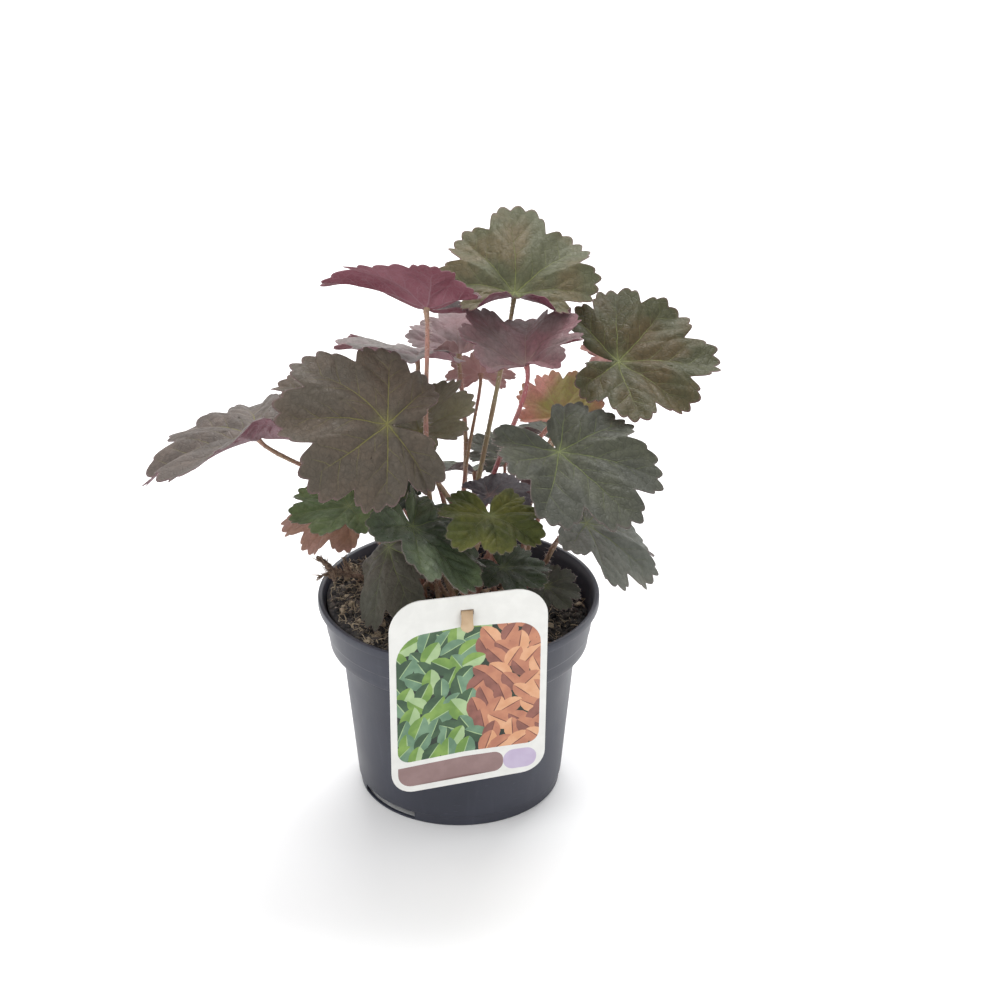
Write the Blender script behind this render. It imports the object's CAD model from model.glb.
"""Looks of the potted heuchera: fine leaves, pot, soil, dead stems, label, light and camera.

The object's tables are in millimetres and degrees, as in the part's own source. Blender gets metres.
"""
import math
import random
from collections import namedtuple

import bpy
import numpy as np
from mathutils import Matrix, Vector, noise
from mathutils.geometry import delaunay_2d_cdt


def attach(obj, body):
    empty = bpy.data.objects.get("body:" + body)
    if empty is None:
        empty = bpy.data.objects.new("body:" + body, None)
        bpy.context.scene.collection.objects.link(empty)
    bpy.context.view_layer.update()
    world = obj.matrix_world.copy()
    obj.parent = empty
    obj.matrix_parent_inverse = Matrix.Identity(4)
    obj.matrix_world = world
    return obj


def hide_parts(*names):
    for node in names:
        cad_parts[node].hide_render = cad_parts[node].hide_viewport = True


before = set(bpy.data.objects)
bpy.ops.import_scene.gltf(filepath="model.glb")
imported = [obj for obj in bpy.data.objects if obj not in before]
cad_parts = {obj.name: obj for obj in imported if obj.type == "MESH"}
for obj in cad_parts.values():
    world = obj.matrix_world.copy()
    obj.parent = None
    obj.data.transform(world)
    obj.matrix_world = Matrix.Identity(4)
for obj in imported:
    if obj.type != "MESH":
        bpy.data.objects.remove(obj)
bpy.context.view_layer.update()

MM = 0.001

# Leaf blade. The edge keeps a least reach from the stalk, in stalk radii
LOBE_TURN = 44.0
TOOTH_TURN = LOBE_TURN / 5
LOBE_CUT = 0.2
TOOTH_CUT = 0.065
MOUTH_START = 146.0
MOUTH_END = 172.0
FUNNEL_REACH = 0.25
PLEAT = 0.035
CURL_TURN = 22.0
FOLD_SHARE = 0.35
SMALL_LEAF = 26.0
EDGE_POINTS = 240
BLADE_MIDDLE = 0.6
BLADE_MARGIN = 0.36
RIM_BULGE = 0.12
NECK_REACH = 1.5
LEAST_REACH = 2.4

# Veins, as shares of the blade's length. The main veins fade out between two angles in degrees
VEIN_SWAY = 0.14
SIDE_VEIN_SLOPE = 1.15
SIDE_VEIN_SPACING = 0.19
SIDE_VEIN_SHIFT = 0.45
LOBE_SHIFT = 1.7
VEIN_WIDTH = 0.0085
SIDE_VEIN_WIDTH = 0.006
SIDE_VEIN_LEAN = 0.66
VEIN_STIR = 0.03
VEIN_STOP = (152, 160)

# Relief of the upper face: heights on a blade of a given length, and widths as shares of the length
RELIEF_LENGTH = 45.0
MAIN_GROOVE = 0.42
SIDE_GROOVE = 0.2
MAIN_GROOVE_WIDTH = 0.018
SIDE_GROOVE_WIDTH = 0.014
SWELL = 0.5
PUFFED_SWELL = 1.1
PUFFED_LEAF = 12

# Stalks
STALK_NECK_RADIUS = 1.1
STALK_FOOT_RADIUS = 1.6
STALK_STEPS = 34
HOLE_DEPTH = 8.0

# Hairs: their radius, and how many a stalk has per millimetre, with single leaves by number
STALK_HAIR_RADIUS = 0.095
MARGIN_HAIR_RADIUS = 0.06
STALK_HAIRS = 1.9
OWN_HAIRS = {2: 2.2, 9: 2.4, 16: 2.2}

# Material numbers on a leaf, whose blade is 0
STALK_KIND = 1
HAIR_KIND = 2

# Soil
SOIL_LEVEL = 87.0
SOIL_LIMIT = 94.0
HEAP_START = -14.0
HEAP_SPAN = 42.0
HEAP_RISE = 10.5
CROWN = (9.0, 6.0)
MOUND_RISE = 3.5
MOUND_WIDTH = 26.0
GAP = 0.3
SOIL_TURNS = 220
SOIL_RINGS = 62
SOIL_SIDE = ((58.1, 76.8), (52.8, 76.3), (46.3, 6.6))
CRUMBS = 3600
CRUMB_SHARES = (5, 8, 1.6, 0.6)
FIBRES = 2400
FIBRE_HEAP = -22.0
FIBRE_LIMIT = 60.0

# Pot
POT_TURNS = 120
RIM_RADIUS = 65.0
POT_FLOOR = 6.3
WINDOW_TURNS = (-138.0, 42.0)
WINDOW_MIDDLE = (43.9, 2.9)
WINDOW_SIZE = (16.0, 34.0, 3.4)
DRAIN_HOLES = 6
DRAIN_TURN = 0.37
DRAIN_CIRCLE = 36.0
DRAIN_RADIUS = 3.5
DRAIN_MIDDLE = 5.6
DRAIN_DEPTH = 4.0
POT_OUTER = (
    (62.9, 97.7), (63.4, 98.0), (64.3, 98.0), (64.8, 97.8), (65.0, 97.2), (65.0, 94.5), (64.8, 94.1),
    (64.3, 93.9), (62.7, 93.7), (62.3, 93.3), (61.9, 90.0), (61.3, 82.8), (61.2, 82.3), (60.9, 82.0),
    (60.8, 81.5), (60.3, 78.0), (59.9, 75.1), (59.6, 74.6), (59.0, 74.3), (55.0, 73.95), (54.5, 73.6),
    (54.3, 72.6), (52.2, 50.0), (50.0, 27.0), (48.0, 6.2), (47.9, 5.6), (47.4, 5.3), (47.1, 4.9),
    (46.9, 0.5), (46.5, 0.0),
)
POT_INNER = ((46.6, 6.3), (53.1, 75.2), (58.4, 75.7), (61.1, 94.0), (62.6, 97.4))
POT_UNDERSIDE = ((45.6, 0.0), (45.6, 5.0), (8.6, 5.0), (8.2, 4.6), (8.0, 0.3), (7.7, 0.0), (0.0, 0.0))

# Label
CARD_WIDTH = 72.0
CARD_HEIGHT = 98.0
CARD_THICKNESS = 0.5
CARD_FOLD = (2.0, -64.9)
CARD_LEFT_SHARE = 0.48
CARD_BOTTOM = 36.0
CARD_TOP_CORNER = 14.0
CARD_BOTTOM_CORNER = 11.0
CARD_LEFT_YAW = 20.0
CARD_RIGHT_YAW_TOP = 7.0
CARD_RIGHT_YAW_BOTTOM = 15.0
CARD_LEAN = 1.5
CARD_FACING = 14.0
CARD_STEP = (3.0, 3.1)
SLOT_GAP = 0.3
SLOT_BELOW = 1.8
SLOT_ABOVE = 0.9
STAKE_WIDTH = 5.2
STAKE_THICKNESS = 0.9
STAKE_X = 3.6
STAKE_ROUTE = ((-54.5, 79.0), (-54.5, 92.0), (-56.0, 105.0), (-59.6, 116.5), (-63.6, 122.6),
               (-67.3, 124.6), (-69.6, 122.4), (-69.6, 115.5))
# Points round the stake's section, as shares of half its width and half its thickness
STAKE_SECTION = ((-1, -0.5), (-0.93, -1), (0.93, -1), (1, -0.5), (1, 0.5), (0.93, 1), (-0.93, 1), (-1, 0.5))

# Dead stems: the points along each, and the radius at each point
DEAD_STEMS = (
    (((-42, 10, 89), (-42, 10, 98), (-45.5, 8, 101.5), (-51, 5.5, 104), (-56, 3, 107.5),
      (-60.5, 1.5, 109.5)), (1.3, 1.3, 1.1, 1.1, 1.2, 0.8)),
    (((-57, 2.5, 102.5), (-58, 2.2, 106), (-59.5, 1.5, 110), (-62, 0.5, 114), (-65, 0, 116.5)),
     (0.9, 1.5, 1.6, 1.1, 0.8)),
    (((-49.5, 6, 103), (-51.5, 5.5, 109), (-53, 5, 113.5)), (0.6, 0.5, 0.4)),
    (((-58.5, 2, 107), (-61.5, -0.5, 107.5), (-65, -2, 106.5)), (0.7, 0.6, 0.45)),
)

# Camera and light, in metres and degrees
CAMERA_PLACE = (0.0, -1.1411, 0.7206)
CAMERA_PITCH = 26.766
CAMERA_YAW = 0.957
CAMERA_LENS = 101.29
ROOM_STRENGTH = 0.9
LIGHT_AIM = (0, 0, 0.15)
# Each light's name, place, size and power
LIGHTS = (("key", (-0.9, -1.1, 1.5), 1.0, 9), ("back", (0.2, 1.0, 1.5), 1.4, 34))

# Leaf colours as seen in daylight: upper side, its patches, lower side, veins
COLOURS = {
    "olive": ((94, 96, 70), (104, 92, 66), (140, 64, 90), (136, 142, 88)),
    "wine": ((100, 88, 86), (112, 84, 86), (148, 72, 90), (190, 140, 150)),
    "plum": ((112, 94, 94), (118, 80, 88), (138, 72, 88), (158, 130, 122)),
    "orange": ((184, 118, 84), (128, 134, 66), (196, 134, 116), (206, 152, 120)),
    "brown": ((88, 80, 68), (96, 82, 70), (128, 72, 86), (140, 136, 80)),
    "green": ((80, 82, 72), (90, 92, 76), (112, 84, 84), (132, 142, 90)),
    "dark": ((58, 72, 52), (70, 88, 56), (104, 72, 76), (120, 136, 80)),
}

# Colours of single leaves that differ from their group
OWN_COLOURS = {
    1: {"upper": (98, 100, 74), "patch": (112, 100, 72)},
    2: {"lower": (156, 88, 103)},
    3: {"upper": (128, 108, 108), "patch": (134, 92, 98)},
    4: {"upper": (80, 81, 55), "patch": (94, 80, 52)},
    5: {"upper": (236, 164, 150), "patch": (182, 182, 104)},
    6: {"upper": (96, 88, 77), "patch": (104, 92, 79)},
    7: {"upper": (132, 128, 110), "patch": (140, 136, 108)},
    9: {"upper": (113, 117, 108), "patch": (128, 128, 118)},
    10: {"upper": (104, 96, 90), "patch": (118, 106, 98)},
    11: {"upper": (98, 116, 76), "patch": (120, 138, 88)},
    12: {"upper": (78, 88, 42), "patch": (118, 120, 56)},
    13: {"upper": (66, 80, 56), "patch": (102, 118, 82)},
    14: {"upper": (82, 81, 69), "patch": (100, 94, 83)},
    15: {"upper": (84, 80, 84), "patch": (96, 90, 96)},
    16: {"upper": (150, 134, 134), "patch": (150, 118, 122), "lower": (196, 154, 154)},
    17: {"upper": (168, 104, 110), "patch": (180, 112, 108), "lower": (212, 172, 168)},
    18: {"upper": (140, 134, 130), "patch": (144, 126, 128), "lower": (172, 110, 124)},
    19: {"upper": (168, 132, 110), "patch": (178, 142, 136), "lower": (196, 154, 146)},
    23: {"upper": (176, 130, 124), "patch": (184, 140, 130)},
}

# The reddish and greenish colour of a stalk, with single leaves by number
PLAIN_STALK = ((172, 124, 112), (164, 140, 112))
STALK_COLOURS = {1: ((150, 128, 98), (150, 138, 104)), 3: ((176, 104, 108), (166, 112, 108))}

# Roughness and shine of a blade, and how much of it lets light through
GLOSSY = (0.26, 0.5)
MATT = (0.4, 0.3)
SEE_THROUGH = 0.22

# Material names with their dark and pale colours and grain size, and their places in each list
SOIL_COLOURS = (
    ("peat_fine", (50, 49, 50), (102, 98, 94), 260.0),
    ("peat_crumb", (68, 65, 63), (144, 134, 122), 700.0),
    ("bark_fibre", (164, 148, 126), (226, 212, 186), 900.0),
    ("pale_speck", (160, 150, 136), (210, 204, 194), 900.0),
)
PEAT, CRUMB, FIBRE, SPECK = range(4)
STEM_COLOURS = (
    ("dead_stem_fine", (96, 80, 70), (172, 150, 132), 500.0),
    ("dead_skin", (146, 124, 106), (204, 182, 158), 800.0),
)
STEM, SKIN = range(2)

# The card's white and its printed colours, each mottled from one tone to another
PRINT_COLOURS = (
    ("card_white", (219, 219, 215), (225, 225, 221)),
    ("print_ground", (26, 38, 28), (38, 54, 38)),
    ("print_green", (98, 134, 58), (126, 158, 76)),
    ("print_leaf", (44, 72, 48), (62, 92, 62)),
    ("print_sage", (88, 122, 96), (114, 146, 118)),
    ("print_coral", (172, 112, 88), (190, 130, 100)),
    ("print_rust", (122, 76, 66), (144, 92, 80)),
    ("print_peach", (206, 150, 112), (216, 166, 130)),
    ("print_mauve", (136, 110, 108), (144, 118, 116)),
    ("print_lilac", (184, 170, 196), (190, 178, 202)),
    ("print_vein", (150, 176, 128), (166, 190, 142)),
    ("print_rib", (92, 50, 46), (108, 60, 54)),
)
# The place of each printed colour in that list
GROUND, GREEN, LEAF, SAGE, CORAL, RUST, PEACH, BAND, BADGE, GREEN_RIB, WARM_RIB = range(1, 12)
GREEN_PAIRS = ((GREEN, GREEN_RIB), (LEAF, GREEN), (SAGE, LEAF), (LEAF, SAGE), (GREEN, SAGE))
WARM_PAIRS = ((CORAL, PEACH), (RUST, CORAL), (PEACH, CORAL))

Leaf = namedtuple("Leaf", "place aim length foot bend form tint seed")


def leaf(place, aim, length, foot, bend, form, tint):
    """place is where the stalk meets the blade. aim is the tip's heading from +X, its rise, and the roll.

    foot is where the stalk leaves the soil, and how far it leans there.
    bend turns the tip, the base, and the left and right sides, up where positive.
    form is the height of the funnel round the stalk and of the waved margin, as shares of the length.
    """
    return Leaf(np.array(place, float), aim, length, foot, bend, form, tint, 0)


PLANS = (
    leaf((26, 20, 238), (88, 23, 7), 45, (-2, 7, 12, 12), (0, 0, -10, 0), (0.14, 0.05), "olive"),
    leaf((-13, 4, 238), (177, 14, 47), 46, (2, -11, -25, -15), (-20, 10, 0, 38), (0.08, 0.04), "wine"),
    leaf((30, -14, 219), (83, 5, -18), 37, (4, 7, 3, 17), (0, 0, 45, 0), (0.15, 0.05), "plum"),
    leaf((72, 10, 209), (9, -7, 28), 47, (17, 8, -17, 15), (0, 0, 0, 5), (0.08, 0.04), "olive"),
    leaf((46, -2, 188), (60, 21, 5), 27, (34, 3, -13, 16), (0, 0, 20, 30), (0.05, 0.06), "orange"),
    leaf((-30, -44, 204), (-165, 16, -45), 52, (-1, -17, 25, 16), (-25, 0, -20, -32), (0.08, 0.04), "brown"),
    leaf((-17, 5, 177), (57, 26, -8), 30, (-14, 25, 22, -25), (0, 20, 0, 0), (0.08, 0.03), "brown"),
    leaf((44, -41, 189), (-50, -22, 9), 47, (6, 1, 25, 6), (-12, -40, 0, 12), (0.06, 0.03), "green"),
    leaf((57, -28, 147), (-25, -32, 2), 40, (35, 16, 14, 10), (-12, 0, -20, 8), (0.06, 0.03), "green"),
    leaf((-89, -6, 181), (-176, -8, 3), 56, (-9, 5, 3, 11), (-30, 0, 10, -5), (0.06, 0.03), "brown"),
    leaf((-48, -27, 156), (-160, -9, -4), 30, (-29, 24, 11, 11), (10, -20, 0, 0), (0.08, 0.03), "green"),
    leaf((14, -37, 156), (-80, -8, -6), 30, (10, -11, -12, -10), (-15, 0, 0, 0), (0.08, 0.04), "green"),
    leaf((-20, -43, 154), (-49, -32, -22), 41, (0, -30, 25, -8), (10, 0, 0, 0), (0.08, 0.04), "dark"),
    leaf((-31, -24, 134), (-132, -65, 16), 36, (-25, 8, 25, -23), (0, 0, -60, -50), (0.05, 0.03), "green"),
    leaf((14, -14, 154), (16, -2, 0), 22, (-3, 1, -23, 9), (0, 0, 0, 0), (0.08, 0.03), "plum"),
    leaf((1, 42, 200), (97, 8, 2), 28, (-9, 45, 21, -17), (0, 60, 0, 0), (0.2, 0.05), "plum"),
    leaf((11, 55, 183), (-90, 60, 0), 20, (9, 16, -17, -9), (0, 0, -15, -15), (0.05, 0.05), "wine"),
    leaf((-18, 40, 199), (176, 6, 20), 42, (-31, 30, -18, -25), (0, 0, 0, 0), (0.05, 0.04), "plum"),
    leaf((-50, 11, 135), (176, -15, -10), 33, (-16, 10, -1, 3), (-20, 0, -20, -20), (0.08, 0.03), "orange"),
    leaf((-24, -10, 152), (160, 5, -10), 20, (-8, -14, -4, 25), (0, 0, 0, 0), (0.08, 0.03), "dark"),
    leaf((22, 42, 145), (100, 10, 0), 22, (13, 22, 4, 0), (0, 0, 0, 0), (0.08, 0.03), "green"),
    leaf((36, 16, 142), (90, 59, 1), 10, (2, -5, 0, -3), (0, 0, 10, 10), (0.05, 0.03), "wine"),
    leaf((66, 45, 196), (20, 0, 10), 16, (20, 20, 0, 0), (0, 0, 0, 0), (0.08, 0.03), "orange"),
    leaf((20, -26, 124), (-30, -15, 1), 23, (5, -21, 3, -9), (0, 0, 0, 0), (0.08, 0.03), "dark"),
    leaf((40, -5, 103), (-10, -12, 20), 17, (27, -4, 0, 0), (0, 0, 0, 0), (0.08, 0.03), "green"),
    leaf((-52, 55, 165), (140, 10, 0), 40, (-12, 16, 0, 0), (-20, 0, 0, 0), (0.08, 0.04), "brown"),
    leaf((52, 52, 149), (40, -10, 0), 40, (28, 24, 6, -3), (-20, 0, 0, 0), (0.08, 0.04), "green"),
    leaf((8, 59, 131), (95, -25, 0), 38, (-2, 24, 0, -4), (-10, 0, 0, 0), (0.08, 0.04), "green"),
)

# Curled margins by leaf: the angle from the middle vein, and how far it rises as a share of the length
CURLS = {
    1: ((168, 0.42), (-168, 0.42)),
    2: ((180, 0.2), (20, 0.1)),
    5: ((180, 0.2),),
    6: ((88, 0.1), (0, -0.05)),
    7: ((180, 0.5),),
    8: ((88, 0.08),),
    10: ((-95, 0.12),),
    14: ((60, 0.12),),
    16: ((180, 0.4),),
}


def bent(distance, arc, angle):
    """Reach, height and tilt after distances along an arc that turns by the angle, then straight on."""
    away = np.abs(distance)
    curved = np.minimum(away, arc)
    turn = np.radians(angle) * curved / arc
    flat = np.abs(turn) < 1e-6
    radius = curved / np.where(flat, 1.0, turn)
    straight = away - curved
    reach = np.where(flat, away, radius * np.sin(turn) + straight * np.cos(turn))
    height = np.where(flat, 0.0, radius * (1 - np.cos(turn)) + straight * np.sin(turn))
    return np.copysign(reach, distance), height, turn


def stalk_radii(plan):
    """The stalk's radius under the blade and in the soil."""
    share = 0.75 if plan.length < SMALL_LEAF else 1.0
    return STALK_NECK_RADIUS * share, STALK_FOOT_RADIUS * share


def edge_reach(turn, plan):
    """Distance from the stalk to the blade's edge, at angles in degrees from the middle vein."""
    away = np.abs(turn)
    drift = 1 + 0.05 * np.sin(np.radians(turn) * 1.5 + plan.seed)
    drift += 0.04 * np.sin(np.radians(turn) * 4 + 2 * plan.seed)
    body = 0.58 + 0.42 * np.cos(np.radians(away / 2)) ** 2
    between = 0.5 - 0.5 * np.cos(math.tau * away / LOBE_TURN)
    lobe = 1 - LOBE_CUT * between ** 5
    tooth = 1 - TOOTH_CUT * (1 - np.abs(np.cos(math.pi * away / TOOTH_TURN)))
    mouth = np.sqrt(np.clip((MOUTH_END - away) / (MOUTH_END - MOUTH_START), 0, 1))
    return np.maximum(plan.length * body * lobe * tooth * drift * mouth, LEAST_REACH * stalk_radii(plan)[0])


def leaf_axes(plan):
    """The directions to the blade's right, to its tip and out of its upper face."""
    heading, rise, roll = (math.radians(angle) for angle in plan.aim)
    ahead = Vector((math.cos(heading) * math.cos(rise), math.sin(heading) * math.cos(rise), math.sin(rise)))
    level = ahead.cross(Vector((0, 0, 1))).normalized()
    out = level.cross(ahead)
    right = level * math.cos(roll) - out * math.sin(roll)
    return np.array(right), np.array(ahead), np.array(right.cross(ahead))


def vein_distances(plan, across, along):
    """How far points lie from the nearest main vein and the nearest side vein, in shares of the length."""
    x, y = across / plan.length, along / plan.length
    reach = np.hypot(x, y)
    turn = np.arctan2(x, y)
    turn = turn + VEIN_SWAY * reach * np.sin(3 * turn + plan.seed)
    lobe = math.radians(LOBE_TURN)
    nearest = np.round(turn / lobe) * lobe
    local = turn - nearest
    main = np.abs(reach * np.sin(local))
    phase = (reach * np.cos(local) - SIDE_VEIN_SLOPE * main) / SIDE_VEIN_SPACING
    phase += SIDE_VEIN_SHIFT * (local > 0) + LOBE_SHIFT * nearest
    side = np.abs(phase - np.floor(phase) - 0.5) * SIDE_VEIN_SPACING * SIDE_VEIN_LEAN
    return main, side


def relief(plan, across, along, share):
    """The height of the upper face's grooves over the veins and of the puffed blade between them."""
    main, side = vein_distances(plan, across, along)
    reach = np.hypot(across, along) / plan.length
    fade = np.clip((1 - share) * 5, 0, 1) * np.clip(reach * 9, 0, 1)
    branched = np.clip(main * 30, 0, 1) * np.clip(reach * 6 - 0.6, 0, 1)
    groove = MAIN_GROOVE * np.exp(-(main / MAIN_GROOVE_WIDTH) ** 2)
    groove += SIDE_GROOVE * np.exp(-(side / SIDE_GROOVE_WIDTH) ** 2) * branched
    swell = PUFFED_SWELL if plan.tint == "dark" or plan.seed == PUFFED_LEAF else SWELL
    puff = swell * np.clip(side / 0.05, 0, 1) ** 0.8 * np.clip(main / 0.06, 0, 1) * branched
    return (puff - groove) * fade * plan.length / RELIEF_LENGTH


def blade_point(plan, axes, across, along, fine=True):
    """Where points of the flat blade lie once the blade is cupped, pleated, waved and bent."""
    reach = np.hypot(across, along)
    turn = np.degrees(np.arctan2(across, along))
    limit = np.maximum(edge_reach(turn, plan), plan.length / 2)
    share = reach / limit
    funnel, wave = plan.form
    near = 1 - np.exp(-(reach / (FUNNEL_REACH * plan.length)) ** 2)
    ripple = np.sin(np.radians(turn) * 5 + plan.seed * 1.7)
    rise = funnel * near - PLEAT * share * np.cos(math.tau * turn / LOBE_TURN)
    rise += wave * share ** 2 * ripple
    for middle, height in CURLS.get(plan.seed, ()):
        off = np.abs((turn - middle + 180) % 360 - 180)
        rise += height * np.exp(-(off / CURL_TURN) ** 2) * np.minimum(1.5, 2 * reach / plan.length) ** 2
    if fine:
        rise += 0.014 * share ** 4 * np.sin(np.radians(turn) * 17 + plan.seed)
        rise += relief(plan, across, along, share) / plan.length
    tip, base, left, right = plan.bend
    side, lift, _ = bent(across, FOLD_SHARE * plan.length, np.where(across > 0, right, left))
    front, drop, tilt = bent(along, plan.length, np.where(along > 0, tip, base))
    lift = lift + rise * plan.length
    back = np.where(along > 0, -np.sin(tilt), np.sin(tilt))
    return (plan.place + np.outer(side, axes[0]) + np.outer(front + back * lift, axes[1])
            + np.outer(drop + np.cos(tilt) * lift, axes[2]))


def edge_turns(count):
    """Angles of the points round the blade's edge, starting and ending at the mouth."""
    half = count // 2
    teeth = half // 12 * 10
    inside = [LOBE_TURN * step * 10 / 3 / teeth for step in range(teeth + 1)]
    left = half - 1 - teeth
    shares = [1 - (1 - step / left) ** 1.4 for step in range(1, left + 1)]
    side = inside + [inside[-1] + (179 - inside[-1]) * share for share in shares]
    return np.array([-turn for turn in reversed(side[1:])] + side + [180.0])


def blade_levels(small):
    """The blade's rings: each one's share of the way to the edge, and one in how many points it has."""
    if small:
        return [(0.0, 16), (0.1, 16), (0.2, 8), (0.3, 8), (0.4, 4), (0.5, 4), (0.6, 2), (0.68, 2),
                (0.76, 1), (0.84, 1), (0.91, 1), (0.96, 1), (1.0, 1)]
    inner = [(0.09 + 0.05 * step, skip) for step, skip in enumerate((8, 8, 4, 4, 4, 2, 2, 2, 2))]
    outer = [(0.54 + 0.035 * step, 1) for step in range(13)]
    return [(0.0, 16), (0.04, 16)] + inner + outer + [(0.98, 1), (1.0, 1)]


def stitch(inner, outer):
    """Faces between two rings of point numbers, the outer with as many points or twice as many."""
    faces = []
    size = len(inner)
    for step in range(size):
        following = (step + 1) % size
        if len(outer) == size:
            faces.append((inner[step], inner[following], outer[following], outer[step]))
            continue
        middle = outer[2 * step + 1]
        faces.append((inner[step], inner[following], middle))
        faces.append((inner[step], middle, outer[2 * step]))
        faces.append((inner[following], outer[(2 * step + 2) % len(outer)], middle))
    return faces


def blade_normals(plan, axes, across, along):
    """Directions out of the blade's upper face."""
    step = 0.3
    side = blade_point(plan, axes, across + step, along) - blade_point(plan, axes, across - step, along)
    front = blade_point(plan, axes, across, along + step) - blade_point(plan, axes, across, along - step)
    out = np.cross(side, front)
    return out / np.linalg.norm(out, axis=1)[:, None]


def curve_points(start, start_pull, end_pull, end, steps):
    """Points along a smooth curve with a pull at each end."""
    points = []
    for step in range(steps + 1):
        share = step / steps
        rest = 1 - share
        points.append(start * rest ** 3 + (start + start_pull) * 3 * rest ** 2 * share
                      + (end + end_pull) * 3 * rest * share ** 2 + end * share ** 3)
    return points


def soil_height(x, y):
    """Height of the soil: heaped against the rim on the left, mounded at the crown, low on the right."""
    heap = max(0.0, min(1.0, (HEAP_START - x) / HEAP_SPAN))
    heap = heap * heap * (3 - 2 * heap)
    mound = math.exp(-((x - CROWN[0]) ** 2 + (y - CROWN[1]) ** 2) / MOUND_WIDTH ** 2)
    rough = 0.8 * math.sin(x * 0.31 + 1) * math.sin(y * 0.27) + 0.5 * math.sin(x * 0.13 - y * 0.41 + 2)
    return SOIL_LEVEL + HEAP_RISE * heap + MOUND_RISE * mound + rough


def stalk_route(plan, axes):
    """Points down the stalk, from just under the blade to the foot of its hole in the soil."""
    right, ahead, out = (Vector(axis) for axis in axes)
    x, y, lean_x, lean_y = plan.foot
    ground = soil_height(x, y)
    under = Vector(blade_point(plan, axes, np.zeros(1), np.zeros(1), False)[0]) - out * 0.4
    top = under - out * stalk_radii(plan)[0] * 1.4
    stem = Vector((x, y, ground + 1.5))
    span = (top - stem).length
    pull = (-out * 0.85 - ahead * 0.35) * min(18.0, 0.35 * span)
    points = curve_points(top, pull, Vector((lean_x, lean_y, 0.4 * span)), stem, STALK_STEPS)
    return points + [Vector((x, y, ground - 3)), Vector((x, y, ground - HOLE_DEPTH + 1))]


def tube_rings(route, radii, first, sides):
    """Rings of points round each point of a route, clockwise seen from the start, which keep their turn."""
    rings = []
    side = first
    for step, place in enumerate(route):
        ahead = route[min(step + 1, len(route) - 1)] - route[max(step - 1, 0)]
        ahead.normalize()
        side = (side - ahead * side.dot(ahead)).normalized()
        other = ahead.cross(side)
        rings.append([place + (side * math.cos(math.tau * number / sides)
                               + other * math.sin(math.tau * number / sides)) * radii[step]
                      for number in range(sides)])
    return rings


class Piece:
    """Points, faces and the material number of each face, gathered for one mesh."""

    def __init__(self):
        self.points = []
        self.faces = []
        self.kinds = []
        self.flat = []

    def add_points(self, points, flat=None):
        """Adds points, each with its place on the flat blade if it has one, and gives their numbers."""
        start = len(self.points)
        self.points.extend(points)
        self.flat.extend(flat or [(0.0, 0.0, 0.0, 0.0)] * len(points))
        return list(range(start, start + len(points)))

    def add_faces(self, faces, kind=0):
        """Adds faces given by the numbers of their points."""
        self.faces.extend(faces)
        self.kinds.extend([kind] * len(faces))

    def add_shape(self, points, faces, kind):
        """Adds points, and faces that count from the first of them."""
        start = self.add_points(points)[0]
        self.add_faces([tuple(corner + start for corner in face) for face in faces], kind)

    def make(self, name, materials, smooth=True):
        """A named object in metres, with each point's place on the flat blade kept for the materials."""
        mesh = bpy.data.meshes.new(name)
        mesh.from_pydata([tuple(np.array(point) * MM) for point in self.points], [], self.faces)
        for material in materials:
            mesh.materials.append(material)
        mesh.polygons.foreach_set("material_index", self.kinds)
        mesh.polygons.foreach_set("use_smooth", [smooth] * len(self.faces))
        flat = np.array(self.flat, float)
        place = mesh.attributes.new("flat", "FLOAT_VECTOR", "POINT")
        place.data.foreach_set("vector", flat[:, :3].ravel())
        side = mesh.attributes.new("side", "FLOAT", "POINT")
        side.data.foreach_set("value", flat[:, 3].copy())
        mesh.update()
        item = bpy.data.objects.new(name, mesh)
        bpy.context.scene.collection.objects.link(item)
        return item


def settle(item, node):
    """Joins a piece to the frame in place of a node."""
    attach(item, "root")
    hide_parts(node)


def add_hair(piece, root, way, length, radius):
    """One hair, a slender three-sided spike."""
    side = way.orthogonal().normalized() * radius
    other = way.cross(side)
    base = [root + side, root - side * 0.5 + other * 0.87, root - side * 0.5 - other * 0.87]
    tip = root + way * length
    piece.add_shape(base + [tip], [(0, 2, 1), (0, 1, 3), (1, 2, 3), (2, 0, 3)], HAIR_KIND)


def blade_grid(plan):
    """The flat blade's points, each one's share of the way to the edge, and each ring's point numbers."""
    turns = edge_turns(EDGE_POINTS)
    edges = edge_reach(turns, plan)
    across, along, share, rings = [], [], [], []
    start = 0
    for part, skip in blade_levels(plan.length < SMALL_LEAF):
        some = turns[::-1][::skip][::-1]
        reach = NECK_REACH + (edges[::-1][::skip][::-1] - NECK_REACH) * part
        across.append(np.sin(np.radians(some)) * reach)
        along.append(np.cos(np.radians(some)) * reach)
        share.append(np.full(len(some), part))
        rings.append(list(range(start, start + len(some))))
        start += len(some)
    return np.concatenate(across), np.concatenate(along), np.concatenate(share), rings


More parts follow.
